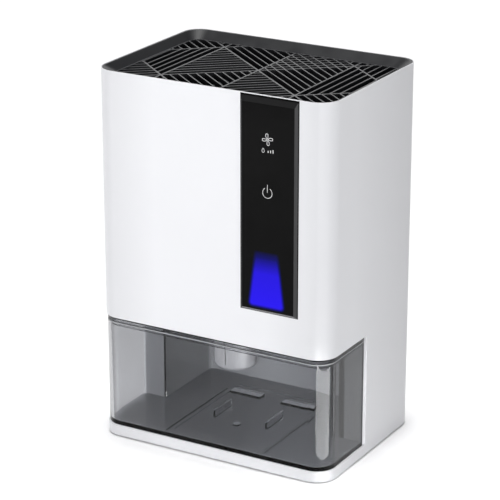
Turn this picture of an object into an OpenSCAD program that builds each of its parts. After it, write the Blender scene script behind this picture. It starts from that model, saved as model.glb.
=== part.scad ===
// Small thermoelectric dehumidifier: white rounded case, black top grille, gloss control panel,
// and a smoky drawer tank that slides out at the front.
// Origin: centre of the footprint, on the surface that the feet stand on. +Z up, front faces -Y.

/* [Case] */
// Width of the case, side to side
body_w = 169; // [160:1:180]
// Depth of the case, front to back
body_d = 122; // [118:1:128]
// Height of the case, feet included
body_h = 250; // [244:1:270]
// Radius of the two front vertical corners
front_r = 14; // [10:0.5:16]
// Radius of the two rear vertical corners
rear_r = 12; // [9:0.5:14]
// Wall thickness of the case
wall = 2.4; // [2:0.1:2.6]
// How far the rubber feet stand out below the case
foot_proud = 1; // [0.5:0.1:1.4]

/* [Water tank] */
// Height of the deck that the tank slides on
deck_z = 8; // [7:0.1:9]
// Height of the lower edge of the case above the tank
bay_top_z = 84.2; // [80:0.1:90]
// Depth of the full-width front part of the tank
tank_front_d = 53.8; // [45:0.1:56]
// Width of the narrow rear part of the tank
tank_rear_w = 134.8; // [124:0.2:136]
// Wall thickness of the tank
tank_wall = 2.2; // [1.8:0.1:2.6]
// How far the tank sits behind the outer faces of the case
tank_inset = 0.8; // [0.4:0.1:1.2]

/* [Control panel] */
// Left edge of the control panel
panel_x0 = 22.8; // [18:0.1:26]
// Right edge of the control panel
panel_x1 = 63.8; // [58:0.1:66]
// Lower edge of the control panel
panel_z0 = 109.6; // [104:0.1:114]
// White strip left between the control panel and the top of the case
panel_top_gap = 0.5; // [0.4:0.1:3]
// How far the control panel stands out in front of the case
panel_proud = 1.5; // [1:0.1:2]

/* [Top grille] */
// Width of the sloped border at the two sides of the grille
band_w = 6.2; // [5:0.1:7]
// Width of the sloped border in front of the grille and behind it
band_d = 9.4; // [7:0.1:10]
// Depth of the grille below the top edge of the case
band_h = 4.6; // [4:0.1:6]
// Height of the grille's ribs
rib_h = 3; // [2:0.1:4]
// Width of the hatch ribs
hatch_w = 0.9; // [0.8:0.1:1.2]
// Width of the main lattice ribs
lattice_w = 1.2; // [1:0.1:1.6]
// Distance between hatch ribs
hatch_pitch = 5.5; // [5:0.1:7]

/* [Fan] */
// Side of the square fan frame
fan_size = 80; // [80:1:80]
// Thickness of the fan
fan_t = 25; // [25:1:25]
// Number of fan blades
blades = 7; // [5:1:9]

/* [Hidden] */
$fn = 96;

eps = 0.01;
screw_head_h = 1.8;
hw = body_w / 2;
hd = body_d / 2;
shell_z0 = foot_proud;
deck_t = 2;
skirt_z = deck_z - deck_t;

// Feet and base screws, as distances from the middle of the plan
foot_at = [68, 45];
base_screw_at = [52, 38];
plate_z = [2.2, 4.2];

// Rear opening of the case and the cover that closes it
cover_hw = 70;
cover_z0 = 14;
cover_z1 = 236;
cover_lip = 4;
cover_t = 1.2;
cover_gap = 0.3;
rear_boss_x = 60;
rear_boss_z = [96, 196];
rear_boss_y = 44;
rear_head_h = 1.4;

// Bay that the tank slides into
bay_gap = 0.6;
bay_hw = tank_rear_w / 2 + bay_gap;
bay_t = 1.6;
bay_y0 = -hd + tank_front_d + 0.6;
bay_y1 = 53.6;
bay_ceiling_z = bay_top_z + 1;
bay_z = [deck_z, bay_ceiling_z + bay_t];

// Tank
tank_hw = hw - tank_inset;
tank_y0 = -hd + tank_inset;
tank_step_y = -hd + tank_front_d;
tank_y1 = bay_y1 - 1;
tank_rear_hw = tank_rear_w / 2;
tank_z0 = deck_z + 0.2;
lid_z1 = bay_top_z - 0.4;
lid_t = 2;
lid_rim_h = 3;
gasket_t = 0.6;
tank_z1 = lid_z1 - lid_rim_h - gasket_t;
tank_floor_z = tank_z0 + tank_wall;
tank_step_r = 2.8;
tank_rear_r = 6;

// Drip point and float
drip_y = 40;
float_y = -27;
cage_r = 13.8;
cage_t = 1.5;
cage_z0 = 55;
float_r = cage_r - cage_t - 0.5;
float_h = 14;
float_z0 = cage_z0 + 2 + 0.2;

// Control panel
panel_z1 = body_h - panel_top_gap;
panel_front = -hd - panel_proud;
panel_bevel_top = 4.7;
panel_bevel_left = 2;
panel_bevel_right = 2.5;
panel_bevel_bottom = 1.9;
window_x0 = panel_x0 + 3;
window_x1 = panel_x1 - 3;
window_z0 = panel_z0 + 2.4;
window_z1 = 236;
icon_x = (panel_x0 + panel_x1) / 2 - 0.6;
icon_z = [189, 222.8];
glow_x = icon_x - 0.6;
glow_z0 = 113.4;
glow_z1 = 150.5;
glow_w0 = 25.5;
glow_w1 = 16;

// Top border and grille
lip = 0.6;
frame_gap = 0.15;
duct_z0 = 206;
duct_t = 1.6;
ledge_t = 2;
frame_rim_h = 2.4;
frame_rim_w = 0.9;
rim_r = 12;
grille_z1 = body_h - band_h;
grille_z0 = grille_z1 - rib_h;
grille_hw = hw - lip - band_w;
grille_hd = hd - lip - band_d;
grille_r = 8;
ring_w = 1.2;
lattice_u = 48;
lattice_v = 39.5;
lattice_y = 1;

// Fan
fan_y = 4;
deck_plate_z = 201;
deck_plate_t = 2;
fan_z0 = deck_plate_z + deck_plate_t;
fan_bore_r = 38;
fan_hub_r = 16;
fan_pitch = 71.5;
shaft_r = 1.5;
bearing_clear = 0.04;
bearing_r = 3.5;
ledge_y = [-34, 40];
ledge_x = 74;
deck_screw_x = 77.5;

// Thermoelectric stack
stack_z = 146;
cold_base_y = 26;
cold_base_t = 4;
cold_w = 76;
cold_h = 80;
cold_fin_l = 20;
peltier_t = 3.8;
peltier_s = 40;
hot_base_t = 5;
hot_base_y = cold_base_y - peltier_t - hot_base_t;
hot_w = 90;
hot_h = 100;
hot_fin_l = 30;
clamp_x = 34.5;
clamp_dz = 34;
lead_dz = 7.1;

// Boards
board_x0 = -74;
board_x1 = 14;
board_z0 = 104;
board_z1 = 184;
board_y = -48;
board_t = 1.6;
board_inset = 5;
board_screws_at = [for (x = [board_x0 + board_inset, board_x1 - board_inset],
                        z = [board_z0 + board_inset, board_z1 - board_inset]) [x, z]];
inlet_x = -50;
inlet_z = 98;

// ---------- shared shapes ----------

// Plan of the case, drawn in by inset all round
module outline(inset = 0) {
    fr = front_r - inset;
    rr = rear_r - inset;
    fx = hw - front_r;
    rx = hw - rear_r;
    fy = -hd + front_r;
    ry = hd - rear_r;
    polygon([
        [hw - inset, fy], [hw - inset, ry], [rx, hd - inset], [-rx, hd - inset],
        [-hw + inset, ry], [-hw + inset, fy], [-fx, -hd + inset], [fx, -hd + inset]
    ]);
    for (s = [-1, 1]) {
        translate([s * fx, fy]) circle(fr);
        translate([s * rx, ry]) circle(rr);
    }
}

// Solid between two heights with the plan of the case
module slab(z0, z1, inset = 0) {
    translate([0, 0, z0]) linear_extrude(z1 - z0) outline(inset);
}

// Rectangle with rounded corners, given by half its width and half its depth
module rounded_rectangle(half_w, half_d, r) {
    square([2 * half_w, 2 * (half_d - r)], center = true);
    square([2 * (half_w - r), 2 * half_d], center = true);
    for (sx = [-1, 1], sy = [-1, 1]) {
        translate([sx * (half_w - r), sy * (half_d - r)]) circle(r);
    }
}

// Box given by its lowest and highest corners
module box(low, high) {
    translate(low) cube(high - low);
}

// Box on one side, s = -1 or 1, between two distances from the middle of the width
module side_box(s, near, far, y, z) {
    box([s > 0 ? near : -far, y[0], z[0]], [s > 0 ? far : -near, y[1], z[1]]);
}

// The four points at plus and minus each coordinate of a point
function four(at) = [for (sx = [-1, 1], sy = [-1, 1]) [sx * at.x, sy * at.y]];

// Cylinder along +Y from y0 to y1
module rod_y(x, z, y0, y1, r) {
    translate([x, y1, z]) rotate([90, 0, 0]) cylinder(h = y1 - y0, r = r);
}

// Cylinder along +Z from z0 to z1
module rod_z(x, y, z0, z1, r) {
    translate([x, y, z0]) cylinder(h = z1 - z0, r = r);
}

// Screw along -Y: the head's face is at y1, and the shank runs to y0
module screw_y(x, z, y0, y1, r, head_h = screw_head_h) {
    difference() {
        rod_y(x, z, y1 - head_h, y1, r * 2);
        cross_slot_y(x, z, y1, r);
    }
    rod_y(x, z, y0, y1 - head_h + eps, r);
}

// Cross recess in a screw head whose face is at y
module cross_slot_y(x, z, y, r) {
    box([x - r * 1.1, y - 0.8, z - 0.3], [x + r * 1.1, y + eps, z + 0.3]);
    box([x - 0.3, y - 0.8, z - r * 1.1], [x + 0.3, y + eps, z + r * 1.1]);
}

// Unit vector along v
function unit(v) = v / norm(v);

// Ring of points moved along dir onto the plane through p with the normal n
function slide_ring(ring, dir, p, n) = [for (q = ring) q + dir * (((p - q) * n) / (dir * n))];

// Normal of the mitre plane at point i of a route
function mitre(points, i) =
    i == len(points) - 1 ? unit(points[i] - points[i - 1])
    : unit(unit(points[i] - points[i - 1]) + unit(points[i + 1] - points[i]));

// The ring at point i of a route and all the rings after it
function rings_from(points, ring, i) =
    i == len(points) ? []
    : let (next = slide_ring(ring, unit(points[i] - points[i - 1]), points[i], mitre(points, i)))
        concat([next], rings_from(points, next, i + 1));

// Eight-sided wire along a route of points
module wire(points, r) {
    sides = 8;
    dir = unit(points[1] - points[0]);
    across = unit(cross(dir, abs(dir.z) < 0.9 ? [0, 0, 1] : [1, 0, 0]));
    other = cross(dir, across);
    first = [for (k = [0 : sides - 1])
        points[0] + r * (cos(360 * k / sides) * across + sin(360 * k / sides) * other)];
    rings = concat([first], rings_from(points, first, 1));
    last = (len(rings) - 1) * sides;
    polyhedron(
        points = [for (ring = rings, p = ring) p],
        faces = concat(
            [[for (k = [0 : sides - 1]) k]],
            [for (i = [0 : len(rings) - 2], k = [0 : sides - 1])
                let (a = i * sides, b = a + sides, m = (k + 1) % sides) [a + m, a + k, b + k, b + m]],
            [[for (k = [sides - 1 : -1 : 0]) last + k]]
        )
    );
}

// ---------- case ----------

module outer_shell() {
    color("white") {
        difference() {
            union() {
                difference() {
                    slab(shell_z0, body_h);
                    slab(deck_z, body_h + 1, wall);
                    slab(shell_z0 - 1, skirt_z, wall);
                }
                rear_bosses();
                deck_ledges();
                board_posts();
                base_bosses();
            }
            // The lip that the black top border drops into
            slab(body_h - frame_rim_h, body_h + 1, lip);
            tank_cutout();
            rear_opening();
            panel_window();
            rear_boss_holes();
            base_boss_holes();
            deck_ledge_holes();
            board_post_holes();
        }
    }
}

// Opening for the tank in the front and the two sides
module tank_cutout() {
    box([-hw - 1, -hd - 1, deck_z], [hw + 1, tank_step_y + 0.4, bay_top_z]);
}

// Opening in the back, with the rebate that holds the rear cover
module rear_opening() {
    inner = cover_hw - cover_lip;
    box([-inner, hd - wall - 1, cover_z0 + cover_lip], [inner, hd + 1, cover_z1 - cover_lip]);
    box([-cover_hw, hd - cover_t, cover_z0], [cover_hw, hd + 1, cover_z1]);
}

module panel_window() {
    box([window_x0, -hd - 1, window_z0], [window_x1, -hd + wall + 1, window_z1]);
}

// Screw bosses for the rear cover, each on a web from the side wall
module rear_bosses() {
    for (s = [-1, 1], z = rear_boss_z) {
        rod_y(s * rear_boss_x, z, rear_boss_y, hd - wall - 0.1, 4);
        side_box(s, rear_boss_x, hw - 1, [rear_boss_y, rear_boss_y + 6], [z - 1.5, z + 1.5]);
    }
}

module rear_boss_holes() {
    for (s = [-1, 1], z = rear_boss_z) {
        rod_y(s * rear_boss_x, z, rear_boss_y + 2, hd, 1.3);
    }
}

// Ledges on the side walls that the fan deck is screwed to
module deck_ledges() {
    for (s = [-1, 1], y = ledge_y) {
        side_box(s, ledge_x, hw - 1, [y - 6, y + 6], [190, deck_plate_z]);
    }
}

module deck_ledge_holes() {
    for (s = [-1, 1], y = ledge_y) {
        rod_z(s * deck_screw_x, y, 191.5, deck_plate_z + 1, 1.3);
    }
}

// Posts on the inside of the front wall for the main board
module board_posts() {
    for (at = board_screws_at) {
        rod_y(at[0], at[1], -hd + 1, board_y, 3);
    }
}

module board_post_holes() {
    for (at = board_screws_at) {
        rod_y(at[0], at[1], board_y - 7, board_y + 1, 1.1);
    }
}

// Short bosses under the deck for the bottom plate's screws
module base_bosses() {
    for (at = four(base_screw_at)) {
        rod_z(at.x, at.y, plate_z[1], skirt_z + 0.5, 3.5);
    }
}

module base_boss_holes() {
    for (at = four(base_screw_at)) {
        rod_z(at.x, at.y, plate_z[0], deck_z - 0.8, 1.3);
    }
}

// Inner walls and ceiling of the tank bay
module bay_liner() {
    color("whitesmoke") difference() {
        union() {
            for (s = [-1, 1]) {
                // Side wall, and the face that closes the cheek behind the tank's step
                side_box(s, bay_hw, bay_hw + bay_t, [bay_y0, bay_y1 + bay_t], bay_z);
                side_box(s, bay_hw, hw - wall, [bay_y0, bay_y0 + bay_t], bay_z);
            }
            box([-bay_hw - bay_t, bay_y1, bay_z[0]], [bay_hw + bay_t, bay_y1 + bay_t, bay_z[1]]);
            box([-bay_hw - bay_t, bay_y0, bay_ceiling_z], [bay_hw + bay_t, bay_y1 + bay_t, bay_z[1]]);
            intersection() {
                slab(bay_ceiling_z, bay_z[1], wall);
                box([-hw, -hd, bay_ceiling_z], [hw, bay_y0 + bay_t, bay_z[1]]);
            }
        }
        rod_z(0, drip_y, bay_ceiling_z - 1, bay_z[1] + 1, 6.2);
    }
}

module rear_cover() {
    inner = cover_hw - cover_lip;
    color("white") difference() {
        union() {
            box([-cover_hw + cover_gap, hd - cover_t, cover_z0 + cover_gap],
                [cover_hw - cover_gap, hd, cover_z1 - cover_gap]);
            box([-inner + cover_gap, hd - wall, cover_z0 + cover_lip + cover_gap],
                [inner - cover_gap, hd - cover_t + eps, cover_z1 - cover_lip - cover_gap]);
            // Stiffening ribs behind the inlet slots
            for (x = [-24, 0, 24]) {
                box([x - 0.8, hd - wall - 2.5, 110], [x + 0.8, hd - wall + eps, 192]);
            }
        }
        inlet_slots();
        for (s = [-1, 1], z = rear_boss_z) {
            rod_y(s * rear_boss_x, z, hd - 5, hd + 1, 1.8);
            rod_y(s * rear_boss_x, z, hd - rear_head_h, hd + 1, 3.4);
        }
        rod_y(inlet_x, inlet_z, hd - 5, hd + 1, 4.6);
    }
}

// Air inlet: rows of slots with rounded ends, in four columns
module inlet_slots() {
    for (column = [-36, -12, 12, 36], row = [0 : 13]) {
        z = 112 + 6 * row;
        rod_y(column - 8.6, z, hd - 6, hd + 1, 1.5);
        rod_y(column + 8.6, z, hd - 6, hd + 1, 1.5);
        box([column - 8.6, hd - 6, z - 1.5], [column + 8.6, hd + 1, z + 1.5]);
    }
}

module bottom_plate() {
    color("lightgray") difference() {
        slab(plate_z[0], plate_z[1], wall + 0.3);
        for (at = four(base_screw_at)) {
            rod_z(at.x, at.y, plate_z[0] - 1, plate_z[1] + 1, 1.8);
        }
        for (at = four(foot_at)) {
            rod_z(at.x, at.y, plate_z[0] - 1, plate_z[1] + 1, 2.5);
        }
    }
}

module rubber_feet() {
    color("dimgray") for (at = four(foot_at)) {
        translate([at.x, at.y, 0]) cylinder(h = 1 + eps, r1 = 5.4, r2 = 6);
        rod_z(at.x, at.y, 1, plate_z[0], 6);
        // Plug that holds the foot in the bottom plate
        rod_z(at.x, at.y, plate_z[0] - eps, plate_z[1], 2.5);
    }
}

// ---------- top ----------

// Plan of the grille, drawn in by inset all round
module grille_outline(inset = 0) {
    rounded_rectangle(grille_hw - inset, grille_hd - inset, grille_r - inset);
}

// Black border with a sloped inner face, dropped into the lip of the case, and the air duct under it
module top_frame() {
    z1 = body_h - 0.2;
    edge = lip + frame_gap + frame_rim_w;
    side = wall + frame_gap;
    ledge_z = grille_z0 - ledge_t;
    color("#26272b") difference() {
        union() {
            slab(body_h - frame_rim_h, z1, lip + frame_gap);
            slab(ledge_z, body_h - frame_rim_h + eps, side);
            difference() {
                slab(duct_z0, ledge_z + eps, side);
                slab(duct_z0 - 1, ledge_z + 1, side + duct_t);
                // Room for the control board
                box([window_x0 - 2, -hd, duct_z0 - 1], [window_x1 + 2, -hd + 8, window_z1 + 1]);
            }
        }
        hull() {
            translate([0, 0, grille_z1]) linear_extrude(eps) grille_outline($fn = 48);
            translate([0, 0, z1]) linear_extrude(eps)
                rounded_rectangle(hw - edge, hd - edge, rim_r, $fn = 48);
        }
        translate([0, 0, grille_z0]) linear_extrude(rib_h + eps) grille_outline();
        translate([0, 0, ledge_z - 1]) linear_extrude(ledge_t + 2) grille_outline(ring_w);
    }
}

// Corner of the lattice, in half diagonals from its middle
function corner(u, v) = [u * lattice_u, v * lattice_v + lattice_y];

// Point at a share t of the way from a to b
function between(a, b, t) = a + (b - a) * t;

// Plan of a straight rib from a to b
module rib(a, b, w) {
    v = b - a;
    translate(a) rotate(atan2(v.y, v.x)) translate([-w / 4, -w / 2]) square([norm(v) + w / 2, w]);
}

// Triangle of the lattice, hatched side by side with its edge from p to q
module hatched_cell(p, q, r) {
    edge = q - p;
    side = r - p;
    height = abs(edge.x * side.y - edge.y * side.x) / norm(edge);
    count = floor((height - 1.5) / hatch_pitch);
    for (k = [1 : count]) {
        t = k * hatch_pitch / height;
        rib(between(p, r, t), between(q, r, t), hatch_w);
    }
}

module grille_pattern() {
    a = corner(-1, -1);
    b = corner(-1, 1);
    c = corner(0, 0);
    d = corner(1, -1);
    e = corner(1, 1);
    left = corner(-2, 0);
    right = corner(2, 0);
    back = corner(0, 2);
    front = corner(0, -2);
    // Cells hatched along the rising diagonal
    hatched_cell(a, c, b);
    hatched_cell(back, e, c);
    hatched_cell(front, d, c);
    hatched_cell(c, e, back);
    hatched_cell(corner(-2, -2), a, left);
    hatched_cell(right, corner(2, 2), e);
    // Cells hatched along the falling diagonal
    hatched_cell(c, d, e);
    hatched_cell(b, c, back);
    hatched_cell(a, front, c);
    hatched_cell(corner(-2, 2), b, left);
    hatched_cell(d, corner(2, -2), right);
    // Cells hatched front to back
    hatched_cell(a, b, left);
    hatched_cell(d, e, right);
    hatched_cell(b, corner(-1, 3), back);
    hatched_cell(e, corner(1, 3), back);
    hatched_cell(e, corner(1, 3), corner(2, 2));
    hatched_cell(b, corner(-1, 3), corner(-2, 2));
    hatched_cell(a, corner(-1, -3), front);
    hatched_cell(d, corner(1, -3), front);
    // Main lattice
    for (u = [-1, 0, 1]) {
        rib(corner(u, -3), corner(u, 3), lattice_w);
    }
    for (shift = [-2, 0, 2]) {
        rib(corner(-2, -2 + shift), corner(2, 2 + shift), lattice_w);
        rib(corner(-2, 2 + shift), corner(2, -2 + shift), lattice_w);
    }
}

module top_grille() {
    color("#26272b") translate([0, 0, grille_z0]) linear_extrude(rib_h) {
        intersection() {
            grille_pattern();
            grille_outline(ring_w / 2);
        }
        difference() {
            grille_outline(0.15);
            grille_outline(ring_w);
        }
    }
}

// ---------- control panel ----------

// Gloss slab with sloped edges that stands in front of the case and plugs its window
module panel_lens() {
    color("#1c1c1e") difference() {
        union() {
            intersection() {
                // Slopes of the top and bottom edges
                translate([panel_x0, 0, 0]) rotate([90, 0, 90]) linear_extrude(panel_x1 - panel_x0)
                    polygon([
                        [-hd, panel_z0],
                        [-hd, panel_z1],
                        [panel_front, panel_z1 - panel_bevel_top],
                        [panel_front, panel_z0 + panel_bevel_bottom]
                    ]);
                // Slopes of the left and right edges
                translate([0, 0, panel_z0]) linear_extrude(panel_z1 - panel_z0) polygon([
                    [panel_x0, -hd], [panel_x0 + panel_bevel_left, panel_front],
                    [panel_x1 - panel_bevel_right, panel_front], [panel_x1, -hd]
                ]);
            }
            box([window_x0 + 0.2, -hd - eps, window_z0 + 0.2], [window_x1 - 0.2, -hd + 1, window_z1 - 0.2]);
            // Posts that hold the control board
            for (x = [window_x0 + 2.5, window_x1 - 2.5], z = [window_z0 + 2.5, window_z1 - 2.5]) {
                rod_y(x, z, -hd + 1 - eps, -hd + 3, 1.5);
            }
        }
        glow_prism(panel_front - 1, -hd + 2, 0);
    }
}

// Tapered block with the outline of the lit window, shrunk by gap
module glow_prism(y0, y1, gap) {
    w0 = glow_w0 / 2 - gap;
    w1 = glow_w1 / 2 - gap;
    translate([glow_x, y1, 0]) rotate([90, 0, 0]) linear_extrude(y1 - y0) polygon([
        [-w0, glow_z0 + 2 + gap], [-w0 + 2, glow_z0 + gap], [w0 - 2, glow_z0 + gap], [w0, glow_z0 + 2 + gap],
        [w1, glow_z1 - gap], [-w1, glow_z1 - gap]
    ]);
}

module indicator_window() {
    color("#2a1cff") glow_prism(panel_front, -hd + 1, 0);
}

module control_board() {
    y0 = -hd + 3;
    y1 = y0 + board_t;
    color("darkgreen") box([window_x0 + 0.6, y0, window_z0 + 0.6], [window_x1 - 0.6, y1, window_z1 - 0.6]);
    // Controller chip and the socket of the ribbon cable
    color("black") box([36, y1 - eps, 186], [46, y1 + 1.6, 196]);
    color("ivory") box([31, y1 - eps, 154], [51, y1 + 4, 159]);
}

// Conductive pads that carry each touch key through to the board
module touch_pads() {
    color("gray") for (z = icon_z) {
        rod_y(icon_x, z, -hd + 1, -hd + 3, 5);
    }
}

module indicator_leds() {
    color("aliceblue") for (z = [119, 129, 139]) {
        box([glow_x - 1.75, -hd + 1.8, z - 1.4], [glow_x + 1.75, -hd + 3, z + 1.4]);
    }
}

// ---------- boards and wiring ----------

module main_board() {
    color("darkgreen") difference() {
        box([board_x0, board_y, board_z0], [board_x1, board_y + board_t, board_z1]);
        for (at = board_screws_at) {
            rod_y(at[0], at[1], board_y - 1, board_y + board_t + 1, 1.6);
        }
    }
}

// Parts on the main board: two capacitors, a choke, a power transistor on its plate, and four sockets
module board_parts() {
    y = board_y + board_t;
    color("navy") {
        rod_y(-58, 168, y, y + 16, 5);
        rod_y(-44, 168, y, y + 16, 5);
    }
    color("saddlebrown") difference() {
        rod_y(-20, 164, y, y + 7, 9);
        rod_y(-20, 164, y - 1, y + 8, 4);
    }
    color("silver") box([-66, y, 128], [-46, y + 8, 148]);
    color("ivory") {
        box([-36, y, 110], [-24, y + 7, 117]);
        box([-18, y, 110], [-8, y + 7, 117]);
        box([-60, y, 110], [-48, y + 7, 117]);
        box([-4, y, 130], [1, y + 5, 150]);
    }
    color("black") box([-34, y, 132], [-20, y + 2, 146]);
}

module board_screws() {
    color("silver") for (at = board_screws_at) {
        screw_y(at[0], at[1], board_y - 5.5, board_y + board_t + screw_head_h, 1.1);
    }
}

// Power socket for a round low-voltage plug
module dc_inlet() {
    y1 = hd - wall - 0.2;
    color("#222222") difference() {
        union() {
            box([inlet_x - 4.5, y1 - 13, inlet_z - 5.5], [inlet_x + 4.5, y1, inlet_z + 5.5]);
            rod_y(inlet_x, inlet_z, y1 - eps, hd - 0.6, 4.3);
        }
        rod_y(inlet_x, inlet_z, y1 - 9, hd + 1, 3.2);
    }
    color("silver") rod_y(inlet_x, inlet_z, y1 - 9 - eps, y1 - 2.5, 1.05);
}

module peltier_leads() {
    y = board_y + board_t + 7;
    lead_y = cold_base_y - peltier_t / 2;
    for (s = [-1, 1]) {
        x = -49 + 2 * s;
        z = stack_z - lead_dz * s;
        color(s < 0 ? "black" : "red") wire([
            [-30 + 3 * s, y, 113.5], [-30 + 3 * s, y + 4, 113.5], [x, -24, 98 + 2 * s],
            [x, 22, 98 + 2 * s], [x, lead_y, z], [-peltier_s / 2 + 2.4, lead_y, z]
        ], 0.9);
    }
}

module fan_lead() {
    y = board_y + board_t + 7;
    color("black") wire([
        [-13, y, 113.5], [-13, y + 5, 113.5], [30, -24, 120], [56, -10, 140], [56, -10, 198],
        [62, -10, 208], [fan_size / 2, -10, 208]
    ], 1.2);
}

module inlet_lead() {
    y = board_y + board_t + 7;
    color("dimgray") wire([
        [-54, y, 113.5], [-54, y + 5, 113.5], [-60, -20, 96], [-62, 30, 94], [-50, 40, 95], [-50, 45.4, 95]
    ], 1.4);
}

// Flat cable from the main board to the control board
module panel_ribbon() {
    y0 = board_y + board_t;
    color("lightgray") {
        box([1, y0 + 1.5, 133], [23, y0 + 1.8, 147]);
        box([22.7, y0 + 1.5, 133], [23, y0 + 6, 147]);
        box([22.7, y0 + 5.7, 133], [41, y0 + 6, 147]);
        box([40.7, -hd + 7, 133], [41, y0 + 6, 147]);
        box([34, -hd + 7, 147 - eps], [41, -hd + 7.3, 154]);
        box([34, -hd + 7, 133], [41, -hd + 7.3, 147]);
    }
}

// ---------- thermoelectric stack ----------

module peltier_module() {
    y0 = hot_base_y + hot_base_t;
    s = peltier_s / 2;
    color("white") {
        box([-s, y0, stack_z - s], [s, y0 + 0.8, stack_z + s]);
        box([-s, y0 + peltier_t - 0.8, stack_z - s], [s, y0 + peltier_t, stack_z + s]);
    }
    color("silver") for (i = [0 : 7], k = [0 : 7]) {
        x = -s + 3.4 + i * (peltier_s - 6.8) / 7;
        z = stack_z - s + 3.4 + k * (peltier_s - 6.8) / 7;
        box([x - 1, y0 + 0.8 - eps, z - 1], [x + 1, y0 + peltier_t - 0.8 + eps, z + 1]);
    }
}

// Foam frame that keeps the cold side apart from the hot side
module peltier_gasket() {
    y0 = hot_base_y + hot_base_t;
    s = peltier_s / 2 + 0.5;
    color("dimgray") difference() {
        box([-cold_w / 2, y0, stack_z - cold_h / 2], [cold_w / 2, y0 + peltier_t, stack_z + cold_h / 2]);
        box([-s, y0 - 1, stack_z - s], [s, y0 + peltier_t + 1, stack_z + s]);
        for (sx = [-1, 1], sz = [-1, 1]) {
            rod_y(sx * clamp_x, stack_z + sz * clamp_dz, y0 - 1, y0 + peltier_t + 1, 1.9);
        }
        // Channel for the two leads
        box([-cold_w / 2 - 1, y0 + 0.8, stack_z - lead_dz - 2],
            [-s + 1, y0 + peltier_t - 0.8, stack_z + lead_dz + 2]);
    }
}

module cold_sink() {
    y0 = cold_base_y;
    color("silver") difference() {
        union() {
            box([-cold_w / 2, y0, stack_z - cold_h / 2],
                [cold_w / 2, y0 + cold_base_t, stack_z + cold_h / 2]);
            for (i = [-6 : 6]) {
                box([i * 5 - 0.5, y0 + cold_base_t - eps, stack_z - cold_h / 2],
                    [i * 5 + 0.5, y0 + cold_base_t + cold_fin_l, stack_z + cold_h / 2]);
            }
        }
        for (sx = [-1, 1], sz = [-1, 1]) {
            rod_y(sx * clamp_x, stack_z + sz * clamp_dz, y0 - 1, y0 + cold_base_t + 1, 1.7);
        }
    }
}

module hot_sink() {
    y0 = hot_base_y;
    color("silver") difference() {
        union() {
            box([-hot_w / 2, y0, stack_z - hot_h / 2], [hot_w / 2, y0 + hot_base_t, stack_z + hot_h / 2]);
            for (i = [-8 : 7]) {
                x = i * 5.6 + 2.8;
                box([x - 0.6, y0 - hot_fin_l, stack_z - hot_h / 2], [x + 0.6, y0 + eps, stack_z + hot_h / 2]);
            }
        }
        for (sx = [-1, 1], sz = [-1, 1]) {
            rod_y(sx * clamp_x, stack_z + sz * clamp_dz, y0 - 1, y0 + hot_base_t + 1, 1.55);
        }
    }
}

module clamp_screws() {
    color("silver") for (sx = [-1, 1], sz = [-1, 1]) {
        screw_y(sx * clamp_x, stack_z + sz * clamp_dz, hot_base_y + 0.6,
                cold_base_y + cold_base_t + screw_head_h, 1.5);
    }
}

// Tray that catches the condensate and drains it through the bay ceiling
module drip_tray() {
    z0 = bay_z[1];
    color("whitesmoke") difference() {
        union() {
            box([-40, 23, z0], [40, 56.4, z0 + 15]);
            rod_z(0, drip_y, bay_ceiling_z - 0.6, z0 + eps, 5);
        }
        box([-38.4, 24.6, z0 + 1.6], [38.4, 54.8, z0 + 16]);
        rod_z(0, drip_y, bay_ceiling_z - 2, z0 + 2, 3.5);
    }
}

// Sealed reed tube in its carrier, over the float
module reed_switch() {
    z0 = bay_z[1];
    color("black") {
        box([-9, float_y - 3, z0], [9, float_y + 3, z0 + 1.4]);
        for (s = [-1, 1]) {
            box([s * 8 - 1, float_y - 2, z0 + 1.4 - eps], [s * 8 + 1, float_y + 2, z0 + 4.4]);
        }
    }
    color("lightgreen") translate([-7 - eps, float_y, z0 + 3]) rotate([0, 90, 0])
        cylinder(h = 14 + 2 * eps, r = 1.2);
}

// ---------- fan ----------

module fan_deck() {
    z0 = deck_plate_z;
    color("#d8d8dc") difference() {
        slab(z0, z0 + deck_plate_t, wall + 0.4);
        rod_z(0, fan_y, z0 - 1, z0 + 4, fan_bore_r);
        for (s = [-1, 1], y = ledge_y) {
            rod_z(s * deck_screw_x, y, z0 - 1, z0 + 4, 1.7);
        }
        for (sx = [-1, 1], sy = [-1, 1]) {
            rod_z(sx * fan_pitch / 2, fan_y + sy * fan_pitch / 2, z0 - 1, z0 + 4, 1.7);
        }
        // Notches for the fan's lead and for the control board
        box([54, -14, z0 - 1], [66, -6, z0 + 4]);
        box([window_x0 - 2, -hd, z0 - 1], [window_x1 + 2, -hd + 8, z0 + 4]);
    }
}

module deck_screws() {
    color("silver") for (s = [-1, 1], y = ledge_y) {
        rod_z(s * deck_screw_x, y, fan_z0, fan_z0 + screw_head_h, 2.9);
        rod_z(s * deck_screw_x, y, 193, fan_z0 + eps, 1.3);
    }
}

module fan_frame() {
    s = fan_size / 2;
    color("#202020") {
        difference() {
            translate([-s, fan_y - s, fan_z0]) cube([fan_size, fan_size, fan_t]);
            rod_z(0, fan_y, fan_z0 - 1, fan_z0 + fan_t + 1, fan_bore_r);
            for (sx = [-1, 1], sy = [-1, 1]) {
                rod_z(sx * fan_pitch / 2, fan_y + sy * fan_pitch / 2, fan_z0 - 1, fan_z0 + fan_t + 1, 2.15);
            }
        }
        difference() {
            union() {
                rod_z(0, fan_y, fan_z0, fan_z0 + 3, fan_hub_r);
                rod_z(0, fan_y, fan_z0, fan_z0 + 17, bearing_r + 1.2);
                for (k = [0 : 3]) {
                    translate([0, fan_y, fan_z0]) rotate([0, 0, 30 + 90 * k])
                        translate([fan_hub_r - 1, -2, 0]) cube([fan_bore_r - fan_hub_r + 1.5, 4, 3]);
                }
            }
            rod_z(0, fan_y, fan_z0 + 1.2, fan_z0 + 18, bearing_r);
        }
    }
}

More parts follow.
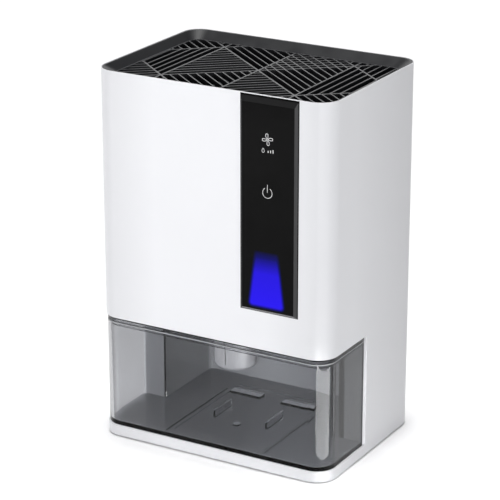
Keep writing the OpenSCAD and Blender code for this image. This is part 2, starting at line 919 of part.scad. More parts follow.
module fan_screws() {
    color("silver") for (sx = [-1, 1], sy = [-1, 1]) {
        x = sx * fan_pitch / 2;
        y = fan_y + sy * fan_pitch / 2;
        rod_z(x, y, fan_z0 + fan_t, fan_z0 + fan_t + 2, 3.4);
        rod_z(x, y, deck_plate_z - 2, fan_z0 + fan_t + eps, 1.6);
        rod_z(x, y, deck_plate_z - 2.4, deck_plate_z, 3.2);
    }
}

module fan_bearing() {
    color("goldenrod") difference() {
        rod_z(0, fan_y, fan_z0 + 1.2, fan_z0 + 16.5, bearing_r);
        rod_z(0, fan_y, fan_z0, fan_z0 + 18, shaft_r + bearing_clear);
    }
}

// Laminated core with four wound poles
module fan_stator() {
    color("chocolate") translate([0, fan_y, fan_z0 + 5.5]) linear_extrude(8) difference() {
        union() {
            circle(6.5);
            for (k = [0 : 3]) {
                rotate(45 + 90 * k) {
                    translate([4, -2.5]) square([6, 5]);
                    translate([9.2, -4.5]) square([1.8, 9]);
                }
            }
        }
        circle(bearing_r + 1.2);
    }
}

// Cup-shaped hub with pitched blades
module fan_rotor() {
    z0 = fan_z0 + 4;
    z1 = fan_z0 + fan_t - 2;
    color("#2b2b2e") {
        difference() {
            rod_z(0, fan_y, z0, z1, 15);
            rod_z(0, fan_y, z0 - 1, z1 - 2, 13.4);
        }
        // Boss that grips the shaft
        difference() {
            rod_z(0, fan_y, z1 - 4, z1 - 2 + eps, 4);
            rod_z(0, fan_y, z1 - 5, z1 - 2 + 2 * eps, shaft_r);
        }
        intersection() {
            union() {
                for (k = [0 : blades - 1]) {
                    translate([0, fan_y, (z0 + z1) / 2]) rotate([0, 0, 360 / blades * k]) rotate([38, 0, 0])
                        translate([14, -11.5, -0.8]) cube([24, 23, 1.6]);
                }
            }
            difference() {
                rod_z(0, fan_y, z0 + 0.5, z1 - 0.5, fan_bore_r - 1.2);
                rod_z(0, fan_y, z0, z1, 14.6);
            }
        }
    }
}

module rotor_magnet() {
    color("#404040") difference() {
        rod_z(0, fan_y, fan_z0 + 5, fan_z0 + 16, 13.4);
        rod_z(0, fan_y, fan_z0 + 4, fan_z0 + 17, 11.9);
    }
}

module fan_shaft() {
    color("silver") rod_z(0, fan_y, fan_z0 + 2, fan_z0 + fan_t - 4, shaft_r);
}

// ---------- screws ----------

module rear_screws() {
    color("silver") for (s = [-1, 1], z = rear_boss_z) {
        screw_y(s * rear_boss_x, z, rear_boss_y + 3, hd, 1.3, rear_head_h);
    }
}

module base_screws() {
    color("silver") for (at = four(base_screw_at)) {
        rod_z(at.x, at.y, plate_z[0] - 1, plate_z[0], 3.2);
        rod_z(at.x, at.y, plate_z[0] - eps, deck_z - 1.2, 1.3);
    }
}

// ---------- tank ----------

// Plan of the tank: full width in front, narrow behind, drawn in by inset all round
module tank_outline(inset = 0) {
    step_r = max(tank_step_r - inset, 0.2);
    rear_corner_r = tank_rear_r - inset;
    front_hw = tank_hw - inset;
    rear_hw = tank_rear_hw - inset;
    step_y = tank_step_y - inset;
    y1 = tank_y1 - inset;
    mid_y = tank_y0 + front_r;
    // Rounded front
    intersection() {
        outline(tank_inset + inset);
        translate([-hw, -hd]) square([body_w, mid_y + eps + hd]);
    }
    // Full-width part, with the rounded outer corners of the step
    translate([-front_hw, mid_y]) square([2 * front_hw, step_y - step_r - mid_y]);
    translate([-front_hw + step_r, mid_y]) square([2 * (front_hw - step_r), step_y - mid_y]);
    // Narrow part, with its rounded back corners
    translate([-rear_hw, mid_y]) square([2 * rear_hw, y1 - rear_corner_r - mid_y]);
    translate([-rear_hw + rear_corner_r, mid_y]) square([2 * (rear_hw - rear_corner_r), y1 - mid_y]);
    for (s = [-1, 1]) {
        translate([s * (front_hw - step_r), step_y - step_r]) circle(step_r);
        translate([s * (rear_hw - rear_corner_r), y1 - rear_corner_r]) circle(rear_corner_r);
    }
}

module tank_slab(z0, z1, inset = 0) {
    translate([0, 0, z0]) linear_extrude(z1 - z0) tank_outline(inset);
}

module water_tank() {
    color([0.35, 0.36, 0.39, 0.6]) {
        difference() {
            tank_slab(tank_z0, tank_z1);
            tank_slab(tank_floor_z, tank_z1 + 1, tank_wall);
            // Shallow field in the underside that stiffens the floor
            box([-34, -50, tank_z0 - 1], [34, 36, tank_z0 + 0.6]);
            // Long grooves in the floor, one on each side of the pads
            for (s = [-1, 1])
                box([s * 36.7 - 0.6, tank_y0 + 6, tank_floor_z - 0.8], [s * 36.7 + 0.6, 24, tank_floor_z + 1]);
        }
        for (s = [-1, 1]) {
            // Raised pads and stiffening ribs on the floor
            box([s * 20 - 12, 18.5, tank_floor_z - eps], [s * 20 + 12, 25.5, tank_floor_z + 1.8]);
            box([s * 19.7 - 0.7, -22, tank_floor_z - eps], [s * 19.7 + 0.7, 0, tank_floor_z + 5]);
        }
        // Round gate mark of the moulding
        rod_z(-1, -24.5, tank_floor_z - eps, tank_floor_z + 0.8, 2.7);
    }
}

module lid_gasket() {
    color("lightgray") difference() {
        tank_slab(tank_z1, tank_z1 + gasket_t, 0.2);
        tank_slab(tank_z1 - 1, tank_z1 + gasket_t + 1, tank_wall);
    }
}

module tank_lid() {
    z0 = tank_z1 + gasket_t;
    color([0.35, 0.36, 0.39, 0.7]) {
        difference() {
            union() {
                difference() {
                    tank_slab(z0, lid_z1);
                    tank_slab(z0 - 1, lid_z1 - lid_t, tank_wall);
                }
                // Lip that locates the lid inside the tank
                difference() {
                    tank_slab(z0 - 3, lid_z1 - lid_t + eps, tank_wall + 0.25);
                    tank_slab(z0 - 4, lid_z1, tank_wall + 1.65);
                }
            }
            // Hole that the condensate drips through
            rod_z(0, drip_y, z0, lid_z1 + 1, 8);
        }
        // Collar that guides the drip into the tank
        difference() {
            rod_z(0, drip_y, z0 - 6, lid_z1 - lid_t + eps, 9.5);
            rod_z(0, drip_y, z0 - 7, lid_z1, 8);
        }
    }
}

// White cage under the lid that holds the float, with a rounded bottom edge
module float_cage() {
    height = lid_z1 - lid_t - cage_z0;
    inner_r = cage_r - cage_t;
    mouth_r = 8;
    floor_t = 2;
    color("white") difference() {
        translate([0, float_y, cage_z0]) rotate_extrude()
            polygon([[mouth_r, 0], [cage_r - 2.2, 0], [cage_r - 1, 0.8], [cage_r, 2.4], [cage_r, height],
                     [inner_r, height], [inner_r, floor_t], [mouth_r, floor_t]]);
        // Slots that let the water in
        for (k = [0 : 2]) {
            translate([0, float_y, cage_z0 + 4]) rotate([0, 0, 30 + 120 * k])
                translate([inner_r - 1, -0.5, 0]) cube([cage_t + 2, 1, 18]);
        }
    }
}

module tank_float() {
    color("white") difference() {
        union() {
            rod_z(0, float_y, float_z0 + 1, float_z0 + float_h, float_r);
            translate([0, float_y, float_z0]) cylinder(h = 1 + eps, r1 = float_r - 1, r2 = float_r);
        }
        rod_z(0, float_y, float_z0 + float_h - 3.2, float_z0 + float_h + 1, 5);
    }
}

module float_magnet() {
    color("#555555") rod_z(0, float_y, float_z0 + float_h - 3.2, float_z0 + float_h - 0.2, 5);
}

outer_shell();
bay_liner();
rear_cover();
bottom_plate();
rubber_feet();
top_frame();
top_grille();
panel_lens();
indicator_window();
control_board();
touch_pads();
indicator_leds();
main_board();
board_parts();
peltier_module();
peltier_gasket();
cold_sink();
hot_sink();
clamp_screws();
fan_deck();
deck_screws();
fan_frame();
fan_screws();
fan_bearing();
fan_stator();
fan_rotor();
rotor_magnet();
fan_shaft();
drip_tray();
reed_switch();
dc_inlet();
peltier_leads();
fan_lead();
inlet_lead();
panel_ribbon();
rear_screws();
base_screws();
board_screws();
water_tank();
tank_lid();
lid_gasket();
float_cage();
tank_float();
float_magnet();
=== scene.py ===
"""Looks of a compact white dehumidifier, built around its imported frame. Metres, +Z up, front faces -Y."""
import math

import bmesh
import bpy
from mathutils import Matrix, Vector


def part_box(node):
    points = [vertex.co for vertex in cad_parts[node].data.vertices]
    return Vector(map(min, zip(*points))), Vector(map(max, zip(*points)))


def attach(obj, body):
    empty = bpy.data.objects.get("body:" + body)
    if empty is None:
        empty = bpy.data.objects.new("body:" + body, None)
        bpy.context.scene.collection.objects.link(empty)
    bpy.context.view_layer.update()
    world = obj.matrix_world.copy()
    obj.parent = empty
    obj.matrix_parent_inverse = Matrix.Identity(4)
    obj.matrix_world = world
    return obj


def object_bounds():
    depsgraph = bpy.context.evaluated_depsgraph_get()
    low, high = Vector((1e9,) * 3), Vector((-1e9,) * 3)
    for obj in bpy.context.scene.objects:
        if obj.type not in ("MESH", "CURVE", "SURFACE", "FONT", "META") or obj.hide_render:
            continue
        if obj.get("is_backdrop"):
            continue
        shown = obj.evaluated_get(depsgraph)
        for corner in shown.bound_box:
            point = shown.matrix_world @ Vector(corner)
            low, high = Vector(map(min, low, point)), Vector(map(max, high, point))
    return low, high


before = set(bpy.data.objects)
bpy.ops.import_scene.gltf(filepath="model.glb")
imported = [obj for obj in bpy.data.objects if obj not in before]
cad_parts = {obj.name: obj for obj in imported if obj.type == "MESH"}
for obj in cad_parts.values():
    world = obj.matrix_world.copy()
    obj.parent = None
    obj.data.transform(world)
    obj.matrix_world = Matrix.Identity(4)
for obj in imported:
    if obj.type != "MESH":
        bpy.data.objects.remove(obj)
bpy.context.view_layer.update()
MM = 0.001

# Camera: angles in degrees, lens and sensor in millimetres, distances in metres
CAMERA_AZIMUTH = 29.916
CAMERA_ELEVATION = 19.758
CAMERA_DISTANCE = 1.4614
CAMERA_LENS = 161.69
CAMERA_SENSOR = 36
AIM_HEIGHT = 0.1255
AIM_RIGHT = -0.004725
AIM_UP = -0.000596

# Soft lights: name, place, target, size, power in watts
SOFT_LIGHTS = (
    ("key_right", (0.6, -1.05, 0.34), (0, -0.06, 0.14), (0.5, 0.45), 4.8),
    ("fill_left", (-0.45, -0.75, 0.26), (-0.05, -0.06, 0.14), (0.3, 0.3), 1.7),
    ("back_soft", (-1.25, 2.2, 1.15), (0, 0, 0.2), (2.4, 1.3), 12),
)
SUN_POWER = 2.9
SUN_SPREAD = 12
WORLD_COLOR = (1, 1, 1.02, 1)
WORLD_STRENGTH = 0.08
FLOOR_HALF = 6

# Card that lights the tank's rounded corner: its height, its place off the corner, its size and power
GLINT_HEIGHT = 0.032
GLINT_OFF = (0.0225, -0.0125)
GLINT_SIZE = (0.062, 0.062)
GLINT_POWER = 0.3

# Most of a noise texture's values lie between these
NOISE_LOW = 0.3
NOISE_HIGH = 0.7

PLASTIC_IOR = 1.49
COAT_ROUGHNESS = 0.08

# Painted shade: share of its white that the case keeps at its front's edges and at the back of its sides
CASE_EDGE_SHADE = 0.87
CASE_BACK_SHADE = 0.83

# Painted shade: share of its white that the bay's liner keeps on its front returns, its back wall and its
# right side
LINER_FRONT_SHADE = 0.4
LINER_WALL_SHADE = 0.58
LINER_RIGHT_SHADE = 0.5

# CAD nodes whose sharp edges are rounded, and how
SOFT_EDGED = ("outer_shell", "water_tank", "tank_lid", "float_cage", "rear_cover", "bottom_plate")
EDGE_ROUND = 0.15 * MM
EDGE_ANGLE = 35
WELD_DISTANCE = 0.002 * MM
NORMAL_WEIGHT = 80

# Smoky plastic: its tint, what it leaves of lamp light, and how the tint changes with depth
SMOKE_TINT = (0.7, 0.705, 0.72)
SMOKE_SHADOW = (0.93, 0.935, 0.94)
SMOKE_STEPS = ((0.0, 1.35), (0.2, 1.35), (0.28, 1), (0.47, 1), (0.65, 0.49), (1.0, 0.48))
SMOKE_IOR = 1.3
TANK_FLOOR_TOP = 2.2 * MM
TANK_WALL_REACH = 40 * MM

# Blue light of the panel: width of its top, round lower corners, softness inside and outside its outline
LIGHT_TOP_SHARE = 0.63
LIGHT_CORNER = 3 * MM
LIGHT_SOFT_IN = 2 * MM
LIGHT_SOFT_OUT = 1.2 * MM
LIGHT_FADE = ((0.0, 1), (0.6, 0.85), (0.85, 0.38), (0.96, 0.12), (1.0, 0))
LIGHT_COLORS = [(0.0, (0, 0, 0)), (0.3, (0.001, 0.001, 0.14)), (1.0, (0.022, 0.006, 1.0))]
LIGHT_POWER = 0.92

# Touch-key symbols, in millimetres around their middle: one fan blade, and a water drop with its level bars
BLADE = ((-0.2, 0.45), (-0.95, 1.3), (-1.35, 2.3), (-1.3, 3.75), (-0.5, 4.1), (0.3, 3.75), (0.38, 2.3),
         (0.25, 1.3))
BLADE_COUNT = 4
BLADE_SCALE = 0.88
DROP = ((0, 1.8), (0.8, 0.5), (1.1, -0.5), (0.65, -1.3), (0, -1.55), (-0.65, -1.3), (-1.1, -0.5), (-0.8, 0.5))
DROP_SCALE = 0.8
DROP_LEFT = 3
BAR_COUNT = 3
BAR_START = 0.5
BAR_STEP = 1.7
BAR_FOOT = -1
BAR_TOP = 0.2
BAR_GROWTH = 0.5
INK = 0.35 * MM

# Standby symbol: ring, half of its gap in degrees, and the bar's ends above the ring's middle
RING_RADIUS = 3.3 * MM
RING_GAP = 32
RING_STEP = 8
STANDBY_BAR = (0.3 * MM, 5.3 * MM)

# Places of the symbols' rows: level row under the fan, standby under the pad's middle
LEVEL_ROW_DROP = 7.2 * MM
STANDBY_DROP = 0.2 * MM


# ---------- camera, floor and light ----------

def link_object(name, data):
    piece = bpy.data.objects.new(name, data)
    bpy.context.scene.collection.objects.link(piece)
    return piece


def turn_towards(piece, direction):
    """Turns a camera or a light, whose back faces direction."""
    piece.rotation_euler = direction.to_track_quat("Z", "Y").to_euler()


def add_camera():
    """Camera at the photograph's viewing angle."""
    azimuth, elevation = math.radians(CAMERA_AZIMUTH), math.radians(CAMERA_ELEVATION)
    back = Vector((math.sin(azimuth) * math.cos(elevation), -math.cos(azimuth) * math.cos(elevation),
                   math.sin(elevation)))
    right = Vector((math.cos(azimuth), math.sin(azimuth), 0))
    up = back.cross(right)
    data = bpy.data.cameras.new("camera")
    data.lens = CAMERA_LENS
    data.sensor_width = CAMERA_SENSOR
    data.clip_start = 0.05
    camera = link_object("camera", data)
    camera.location = Vector((0, 0, AIM_HEIGHT)) + right * AIM_RIGHT + up * AIM_UP + back * CAMERA_DISTANCE
    turn_towards(camera, back)
    bpy.context.scene.camera = camera


def add_floor():
    """Wide pale floor under the feet."""
    bm = bmesh.new()
    bmesh.ops.create_grid(bm, x_segments=8, y_segments=8, size=FLOOR_HALF)
    floor = new_object("floor", bm)
    n = NodeTree("floor_paint")
    n.link(n.two_tone(n.noise(scale=3, detail=3), (0.93, 0.93, 0.935), (0.95, 0.95, 0.955)), "Base Color")
    n.set(Roughness=0.7)
    floor.data.materials.append(n.material)
    floor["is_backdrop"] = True


def add_area(name, place, target, size, power):
    """Soft rectangular light at place, turned towards target."""
    data = bpy.data.lights.new(name, "AREA")
    data.shape = "RECTANGLE"
    data.size, data.size_y = size
    data.energy = power
    light = link_object(name, data)
    light.location = place
    turn_towards(light, Vector(place) - Vector(target))
    return light


def add_glint():
    """Card that only shows as a reflection on the rounded front corner."""
    low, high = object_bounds()
    corner = Vector((high.x, low.y, GLINT_HEIGHT))
    card = add_area("glint_card", corner + Vector((*GLINT_OFF, 0)), corner, GLINT_SIZE, GLINT_POWER)
    card.visible_camera = False
    card.visible_diffuse = False
    card.visible_transmission = False


def add_lights():
    for light in SOFT_LIGHTS:
        add_area(*light)
    add_glint()
    sky = bpy.data.lights.new("sky_soft", "SUN")
    sky.energy = SUN_POWER
    sky.angle = math.radians(SUN_SPREAD)
    link_object("sky_soft", sky)
    world = bpy.data.worlds.new("studio")
    world.use_nodes = True
    background = world.node_tree.nodes["Background"]
    background.inputs["Color"].default_value = WORLD_COLOR
    background.inputs["Strength"].default_value = WORLD_STRENGTH
    bpy.context.scene.world = world
    bpy.context.scene.view_settings.view_transform = "Standard"


# ---------- materials ----------

class NodeTree:
    """One procedural material, built node by node around its Principled shader."""

    def __init__(self, name):
        self.material = bpy.data.materials.new(name)
        self.material.use_nodes = True
        self.tree = self.material.node_tree
        self.shader = self.tree.nodes["Principled BSDF"]
        self.place = self.add("ShaderNodeTexCoord").outputs

    def add(self, kind, **settings):
        node = self.tree.nodes.new(kind)
        for key, value in settings.items():
            setattr(node, key, value)
        return node

    def wire(self, source, socket):
        self.tree.links.new(source, socket)

    def link(self, source, name):
        """Feeds the shader's named socket."""
        self.wire(source, self.shader.inputs[name])

    def set(self, **values):
        """Constant values on the shader's own sockets; an underscore stands for a space."""
        for key, value in values.items():
            self.shader.inputs[key.replace("_", " ")].default_value = value

    def noise(self, scale, detail=4, roughness=0.5, distortion=0.0, stretch=(1, 1, 1)):
        mapping = self.add("ShaderNodeMapping")
        mapping.inputs["Scale"].default_value = stretch
        self.wire(self.place["Object"], mapping.inputs["Vector"])
        noise = self.add("ShaderNodeTexNoise")
        for key, value in {"Scale": scale, "Detail": detail, "Roughness": roughness,
                           "Distortion": distortion}.items():
            noise.inputs[key].default_value = value
        self.wire(mapping.outputs["Vector"], noise.inputs["Vector"])
        return noise.outputs["Fac"]

    def ramp(self, source, stops):
        """Colours by value: stops are (position, (r, g, b))."""
        ramp = self.add("ShaderNodeValToRGB")
        elements = ramp.color_ramp.elements
        while len(elements) < len(stops):
            elements.new(0.5)
        for element, (at, color) in zip(elements, stops):
            element.position = at
            element.color = (*color, 1)
        self.wire(source, ramp.inputs["Fac"])
        return ramp.outputs["Color"]

    def two_tone(self, noise, dark, light):
        """Colour that wanders between two with the noise."""
        return self.ramp(noise, [(NOISE_LOW, dark), (NOISE_HIGH, light)])

    def scaled(self, level, color):
        """Colour times a level from 0 to 1."""
        return self.ramp(level, [(0.0, grey(0)), (1.0, color)])

    def spread(self, source, low, high, start=0.0, end=1.0, smooth=False):
        """Source remapped from start..end to low..high, held at the ends."""
        node = self.add("ShaderNodeMapRange", clamp=True)
        if smooth:
            node.interpolation_type = "SMOOTHSTEP"
        for key, value in {"From Min": start, "From Max": end, "To Min": low, "To Max": high}.items():
            node.inputs[key].default_value = value
        self.wire(source, node.inputs["Value"])
        return node.outputs["Result"]

    def vary(self, noise, low, high, start=NOISE_LOW):
        """Value that wanders from low to high with the noise."""
        return self.spread(noise, low, high, start, NOISE_HIGH)

    def math(self, operation, first, second=None):
        node = self.add("ShaderNodeMath", operation=operation)
        for socket, value in zip(node.inputs, (first, second)):
            if value is None:
                continue
            if isinstance(value, (int, float)):
                socket.default_value = value
            else:
                self.wire(value, socket)
        return node.outputs[0]

    def bump(self, source, strength, distance):
        node = self.add("ShaderNodeBump")
        node.inputs["Strength"].default_value = strength
        node.inputs["Distance"].default_value = distance
        self.wire(source, node.inputs["Height"])
        self.link(node.outputs["Normal"], "Normal")

    def axes(self, kind="Object"):
        """The x, y and z of the point, or of the surface's Normal."""
        split = self.add("ShaderNodeSeparateXYZ")
        self.wire(self.place[kind], split.inputs["Vector"])
        return split.outputs


def grey(level):
    return (level, level, level)


def shade(color, share):
    """Colour scaled by a share and kept within 0 to 1."""
    return tuple(min(1.0, c * share) for c in color)


def plastic(name, color, roughness=0.4, grain=900, grain_depth=0.02, mottle=0.03, coat=0.0, painted_shade=None):
    """Moulded plastic: fine spark-eroded grain, slight cloudiness in colour and in gloss.

    A shade function, where given, returns the share of the colour that each place keeps: painted shade.
    """
    n = NodeTree(name)
    cloud = n.noise(scale=18, detail=3)
    if painted_shade:
        level = n.math("MULTIPLY", n.vary(cloud, 1 - 2 * mottle, 1), painted_shade(n))
        n.link(n.scaled(level, color), "Base Color")
    else:
        n.link(n.two_tone(cloud, shade(color, 1 - mottle), shade(color, 1 + mottle)), "Base Color")
    gloss = n.noise(scale=70, detail=5, roughness=0.6)
    n.link(n.vary(gloss, roughness * 0.88, roughness * 1.14), "Roughness")
    n.bump(n.noise(scale=grain, detail=2), grain_depth, 0.3 * MM)
    n.set(IOR=PLASTIC_IOR, Coat_Weight=coat, Coat_Roughness=COAT_ROUGHNESS)
    return n.material


def case_painted_shade(n):
    """Painted shade: the case's white is a touch greyer towards the edges of its front, and along its sides
    towards the back, where less light falls.
    """
    x, y, _ = n.axes()
    side = n.spread(n.math("ABSOLUTE", n.axes("Normal")[0]), 0, 1, 0.35, 0.75)
    front_edge_shade = n.spread(n.math("ABSOLUTE", x), 1, CASE_EDGE_SHADE, 40 * MM, 73 * MM)
    side_shade = n.spread(y, 1, CASE_BACK_SHADE, -26 * MM, 50 * MM)
    gap = n.math("SUBTRACT", side_shade, front_edge_shade)
    return n.math("ADD", front_edge_shade, n.math("MULTIPLY", gap, side))


def metal(name, color, roughness=0.3, brush=(1, 1, 60)):
    """Metal with fine drawn lines across the brush direction."""
    n = NodeTree(name)
    lines = n.noise(scale=60, detail=6, roughness=0.7, stretch=brush)
    n.link(n.two_tone(lines, shade(color, 0.82), shade(color, 1.08)), "Base Color")
    n.link(n.vary(lines, roughness * 0.75, roughness * 1.3), "Roughness")
    n.bump(lines, 0.12, 0.2 * MM)
    n.set(Metallic=1.0)
    return n.material


def rubber(name, color, roughness=0.75):
    """Matt rubber, foam or cable sheath, with a coarse mottle."""
    n = NodeTree(name)
    cloud = n.noise(scale=120, detail=6, roughness=0.7)
    n.link(n.two_tone(cloud, shade(color, 0.8), shade(color, 1.2)), "Base Color")
    n.link(n.vary(cloud, roughness * 0.85, 0.95), "Roughness")
    n.bump(n.noise(scale=1400, detail=2), 0.15, 0.3 * MM)
    return n.material


def tank_smoke():
    """Clear smoky plastic that lets lamp light through; thin marks on the tank's floor hold little tint."""
    n = NodeTree("tank_smoke")
    flow = n.noise(scale=14, detail=3, distortion=0.4)
    # The tint deepens where the view runs through the wall at a slant
    facing = n.add("ShaderNodeLayerWeight").outputs["Facing"]
    slant = n.math("ADD", n.spread(facing, 0.3, 1), n.vary(flow, -0.015, 0.015))
    x, y, z = n.axes()
    wall = n.spread(n.math("MAXIMUM", n.math("ABSOLUTE", x), n.math("ABSOLUTE", y)), 0, 1,
                    TANK_WALL_REACH, TANK_WALL_REACH + 2 * MM)
    floor_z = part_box("water_tank")[0].z + TANK_FLOOR_TOP
    floor = n.spread(z, 1, 0, floor_z + 0.1 * MM, floor_z + 0.4 * MM)
    depth = n.math("MULTIPLY", slant, n.math("MAXIMUM", wall, floor))
    n.link(n.ramp(depth, [(at, shade(SMOKE_TINT, share)) for at, share in SMOKE_STEPS]), "Base Color")
    n.link(n.vary(n.noise(scale=90, detail=4), 0.012, 0.03, start=0.35), "Roughness")
    n.set(IOR=SMOKE_IOR, Transmission_Weight=1.0, Specular_Tint=(*grey(0.5), 1))
    lets_light = n.add("ShaderNodeBsdfTransparent")
    lets_light.inputs["Color"].default_value = (*SMOKE_SHADOW, 1)
    mix = n.add("ShaderNodeMixShader")
    n.wire(n.add("ShaderNodeLightPath").outputs["Is Shadow Ray"], mix.inputs["Fac"])
    n.wire(n.shader.outputs[0], mix.inputs[1])
    n.wire(lets_light.outputs[0], mix.inputs[2])
    n.wire(mix.outputs[0], n.tree.nodes["Material Output"].inputs["Surface"])
    return n.material


def liner_white_painted_shade():
    """Matt white liner of the tank's bay, with painted shade: greyer towards its front and its right side."""
    n = NodeTree("liner_white_painted_shade")
    x, y, _ = n.axes()
    # Painted shade on the front returns and the back wall, deeper towards the right side
    depth_shade = n.spread(y, LINER_FRONT_SHADE, LINER_WALL_SHADE, -4 * MM, 30 * MM)
    side_shade = n.spread(x, 1, LINER_RIGHT_SHADE, -20 * MM, 60 * MM)
    cloud = n.vary(n.noise(scale=18), -0.02, 0.02)
    painted_shade = n.math("ADD", n.math("MULTIPLY", depth_shade, side_shade), cloud)
    n.link(n.scaled(painted_shade, (0.985, 0.985, 1)), "Base Color")
    n.link(n.vary(n.noise(scale=70, detail=5), 0.44, 0.56), "Roughness")
    n.bump(n.noise(scale=1200, detail=2), 0.03, 0.3 * MM)
    return n.material


def panel_painted_sheen(n, y):
    """Painted sheen: lighter colour on the panel's right, top and bottom slopes, by how light falls on them,
    with a painted shadow line along their foot.
    """
    side, _, rise = n.axes("Normal")
    painted_sheen = n.math("ADD", n.spread(side, 0, 0.06, 0.1, 0.35), n.spread(rise, 0, 0.02, 0.1, 0.4))
    painted_sheen = n.math("ADD", painted_sheen, n.spread(n.math("MULTIPLY", rise, -1), 0, 0.16, 0.2, 0.6))
    foot_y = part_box("outer_shell")[0].y
    return n.math("MULTIPLY", painted_sheen, n.spread(y, 1, 0, foot_y - 0.45 * MM, foot_y - 0.25 * MM))


def panel_light(n, x, z):
    """Level of the blue light, which narrows and fades upwards and has round lower corners."""
    low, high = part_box("indicator_window")
    middle, foot_half = (low.x + high.x) / 2, (high.x - low.x) / 2
    up = n.spread(z, 0, 1, low.z, high.z)
    half = n.spread(up, foot_half, foot_half * LIGHT_TOP_SHARE)
    off = n.math("ABSOLUTE", n.math("SUBTRACT", x, middle))
    past_side = n.math("MAXIMUM", n.math("ADD", n.math("SUBTRACT", off, half), LIGHT_CORNER), 0)
    past_foot = n.math("MAXIMUM", n.math("SUBTRACT", low.z + LIGHT_CORNER, z), 0)
    reach = n.math("SQRT", n.math("ADD", n.math("POWER", past_side, 2), n.math("POWER", past_foot, 2)))
    inside = n.spread(reach, 1, 0, LIGHT_CORNER - LIGHT_SOFT_IN, LIGHT_CORNER + LIGHT_SOFT_OUT, smooth=True)
    fade = n.ramp(up, [(at, grey(level)) for at, level in LIGHT_FADE])
    return n.math("MULTIPLY", inside, fade)


def panel_gloss():
    """Piano-black plastic with painted sheen on its sloped edges, and the blue light that shows through it.
    """
    n = NodeTree("panel_gloss")
    haze = n.noise(scale=45, detail=4, roughness=0.6)
    x, y, z = n.axes()
    # Painted sheen on the sloped edges, with a painted shadow line at their foot
    painted_sheen = panel_painted_sheen(n, y)
    black = 0.003
    n.link(n.scaled(n.math("ADD", painted_sheen, n.vary(haze, black * 0.85, black * 1.2)), (1, 1, 1.02)), "Base Color")
    n.link(n.vary(n.math("ADD", painted_sheen, haze), 0.05, 0.09), "Roughness")
    n.set(IOR=1.5, Specular_IOR_Level=0.05)
    n.link(n.ramp(panel_light(n, x, z), LIGHT_COLORS), "Emission Color")
    n.set(Emission_Strength=LIGHT_POWER)
    return n.material


def new_object(name, bm):
    mesh = bpy.data.meshes.new(name)
    bmesh.ops.recalc_face_normals(bm, faces=bm.faces)
    bm.to_mesh(mesh)
    bm.free()
    return link_object(name, mesh)


def paint(node, material):
    """Gives a CAD node one material on all its slots."""
    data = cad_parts[node].data
    data.materials.clear()
    data.materials.append(material)


def soften(node):
    """Rounds a CAD node's sharp edges with modifiers only."""
    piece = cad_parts[node]
    weld = piece.modifiers.new("weld", "WELD")
    weld.merge_threshold = WELD_DISTANCE
    bevel = piece.modifiers.new("edge_round", "BEVEL")
    bevel.width = EDGE_ROUND
    bevel.segments = 2
    bevel.limit_method = "ANGLE"
    bevel.angle_limit = math.radians(EDGE_ANGLE)
    bevel.use_clamp_overlap = False
    normals = piece.modifiers.new("normals", "WEIGHTED_NORMAL")
    normals.weight = NORMAL_WEIGHT


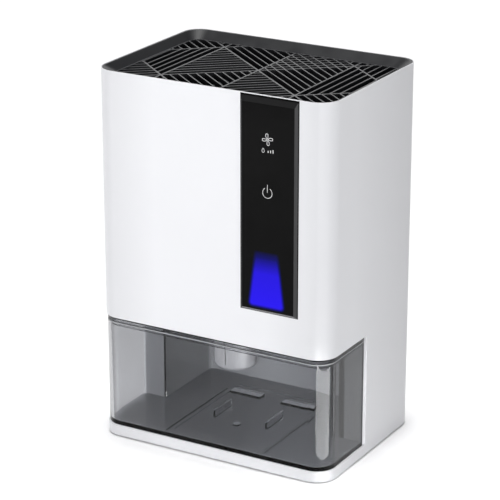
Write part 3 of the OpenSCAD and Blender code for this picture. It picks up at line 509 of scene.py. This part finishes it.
def paint_all():
    looks = [
        # The case's white carries painted shade at its front's edges and towards the back of its sides
        (plastic("case_white", (0.785, 0.79, 0.815), roughness=0.34, grain=1500, grain_depth=0.01,
                 mottle=0.006, coat=0.15, painted_shade=case_painted_shade), ["outer_shell", "rear_cover"]),
        (plastic("inner_white", (0.87, 0.87, 0.885), roughness=0.5, grain=1200, grain_depth=0.03),
         ["bottom_plate", "drip_tray"]),
        (liner_white_painted_shade(), ["bay_liner"]),
        (plastic("grille_black", (0.03, 0.031, 0.035), roughness=0.34, grain=2200, grain_depth=0.04,
                 mottle=0.12), ["top_grille"]),
        (plastic("border_black", (0.012, 0.0125, 0.0145), roughness=0.4, grain=2200, grain_depth=0.04,
                 mottle=0.12), ["top_frame"]),
        (plastic("part_black", (0.035, 0.035, 0.038), roughness=0.5, mottle=0.15),
         ["fan_deck", "fan_frame", "fan_rotor", "board_parts", "dc_inlet", "reed_switch"]),
        (metal("screw_steel", (0.62, 0.62, 0.64)),
         ["clamp_screws", "rear_screws", "base_screws", "board_screws", "fan_shaft"]),
        (metal("screw_black", (0.05, 0.05, 0.055), roughness=0.4), ["deck_screws", "fan_screws"]),
        (metal("sink_aluminium", (0.75, 0.76, 0.78), roughness=0.35, brush=(60, 1, 1)),
         ["cold_sink", "hot_sink"]),
        (rubber("lead_black", (0.02, 0.02, 0.022), 0.55), ["fan_lead", "inlet_lead"]),
        (rubber("magnet_gray", (0.07, 0.07, 0.08), 0.5), ["rotor_magnet", "float_magnet"]),
        (plastic("board_green", (0.015, 0.15, 0.055), roughness=0.3, grain=500, mottle=0.2),
         ["control_board", "main_board"]),
        (rubber("soft_gray", (0.2, 0.2, 0.21), 0.9), ["peltier_gasket", "touch_pads"]),
        (tank_smoke(), ["water_tank", "tank_lid"]),
        (rubber("foot_rubber", (0.06, 0.06, 0.065)), ["rubber_feet"]),
        (rubber("lead_red", (0.4, 0.02, 0.015), 0.5), ["peltier_leads"]),
        (rubber("seal_clear", (0.42, 0.43, 0.45), 0.4), ["lid_gasket"]),
        (plastic("lamp_white", (0.9, 0.92, 0.95), roughness=0.2), ["indicator_leds"]),
        (plastic("ceramic_white", (0.83, 0.83, 0.8), roughness=0.6), ["peltier_module"]),
        (plastic("ribbon_gray", (0.45, 0.45, 0.47), roughness=0.5), ["panel_ribbon"]),
        # The cage's white is greyed all over as painted shade, for the shade it sits in inside the tank
        (plastic("cage_white_painted_shade", (0.48, 0.48, 0.495), roughness=0.45, grain=1200, grain_depth=0.03),
         ["float_cage"]),
        (plastic("float_white", (0.85, 0.85, 0.84), roughness=0.6), ["tank_float"]),
        (metal("bearing_brass", (0.75, 0.55, 0.25)), ["fan_bearing"]),
        (metal("coil_copper", (0.7, 0.33, 0.15)), ["fan_stator"]),
        (panel_gloss(), ["panel_lens", "indicator_window"]),
    ]
    for material, nodes in looks:
        for node in nodes:
            paint(node, material)


# ---------- symbols of the touch keys ----------

def smooth_loop(points, steps=6):
    """Closed Catmull-Rom curve through (x, z) points."""
    count = len(points)
    path = []
    for i in range(count):
        a, b, c, d = (Vector(points[(i + k) % count]) for k in (-1, 0, 1, 2))
        for step in range(steps):
            t = step / steps
            path.append(0.5 * (2 * b + (c - a) * t + (2 * a - 5 * b + 4 * c - d) * t * t
                               + (3 * b - a - 3 * c + d) * t ** 3))
    return path


def stroke(bm, path, width, y, closed=True):
    """Raised ink line along path, a list of (x, z) vectors, on the plane at y."""
    rise, sink = 0.05 * MM, 0.02 * MM
    section = [(-0.5, sink), (-0.5, 0), (-0.38, -rise), (0.38, -rise), (0.5, 0), (0.5, sink)]
    rings = []
    count = len(path)
    for i, point in enumerate(path):
        before = path[(i - 1) % count] if closed or i else point
        after = path[(i + 1) % count] if closed or i < count - 1 else point
        along = (after - before).normalized()
        across = Vector((-along.y, along.x))
        rings.append([bm.verts.new((point.x + across.x * u * width, y + v, point.y + across.y * u * width))
                      for u, v in section])
    sides = len(section)
    for i in range(count if closed else count - 1):
        first, second = rings[i], rings[(i + 1) % count]
        for k in range(sides):
            bm.faces.new((first[k], first[(k + 1) % sides], second[(k + 1) % sides], second[k]))
    if not closed:
        bm.faces.new(rings[0])
        bm.faces.new(list(reversed(rings[-1])))


def draw_fan(bm, x, z, y):
    for turn in range(BLADE_COUNT):
        angle = 2 * math.pi * turn / BLADE_COUNT
        c, s = math.cos(angle) * BLADE_SCALE, math.sin(angle) * BLADE_SCALE
        points = [(x + (c * u - s * v) * MM, z + (s * u + c * v) * MM) for u, v in BLADE]
        stroke(bm, smooth_loop(points), INK, y)


def draw_level(bm, x, z, y):
    """Water drop and rising level bars beside it."""
    drop = [(x + (u * DROP_SCALE - DROP_LEFT) * MM, z + v * DROP_SCALE * MM) for u, v in DROP]
    stroke(bm, smooth_loop(drop), INK * 0.8, y)
    for k in range(BAR_COUNT):
        bar_x = x + (BAR_START + BAR_STEP * k) * MM
        bar = [Vector((bar_x, z + BAR_FOOT * MM)), Vector((bar_x, z + (BAR_TOP + BAR_GROWTH * k) * MM))]
        stroke(bm, bar, INK * 1.7, y, closed=False)


def draw_standby(bm, x, z, y):
    """Ring that is open at its top, with a bar through the gap."""
    ring = [Vector((x + RING_RADIUS * math.sin(math.radians(a)), z + RING_RADIUS * math.cos(math.radians(a))))
            for a in range(RING_GAP, 361 - RING_GAP, RING_STEP)]
    stroke(bm, ring, INK, y, closed=False)
    stroke(bm, [Vector((x, z + end)) for end in STANDBY_BAR], INK, y, closed=False)


def add_key_symbols():
    """Printed symbols over the touch pads: fan with its level row above, standby below."""
    low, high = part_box("touch_pads")
    x, pad_half = (low.x + high.x) / 2, (high.x - low.x) / 2
    fan_z = high.z - pad_half
    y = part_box("panel_lens")[0].y
    bm = bmesh.new()
    draw_fan(bm, x, fan_z, y)
    draw_level(bm, x, fan_z - LEVEL_ROW_DROP, y)
    draw_standby(bm, x, low.z + pad_half - STANDBY_DROP, y)
    symbols = new_object("key_symbols", bm)
    symbols.data.materials.append(plastic("symbol_ink", (0.72, 0.72, 0.73), roughness=0.45, grain=3000))
    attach(symbols, "housing")


add_camera()
add_floor()
add_lights()
paint_all()
add_key_symbols()
for node_name in SOFT_EDGED:
    soften(node_name)
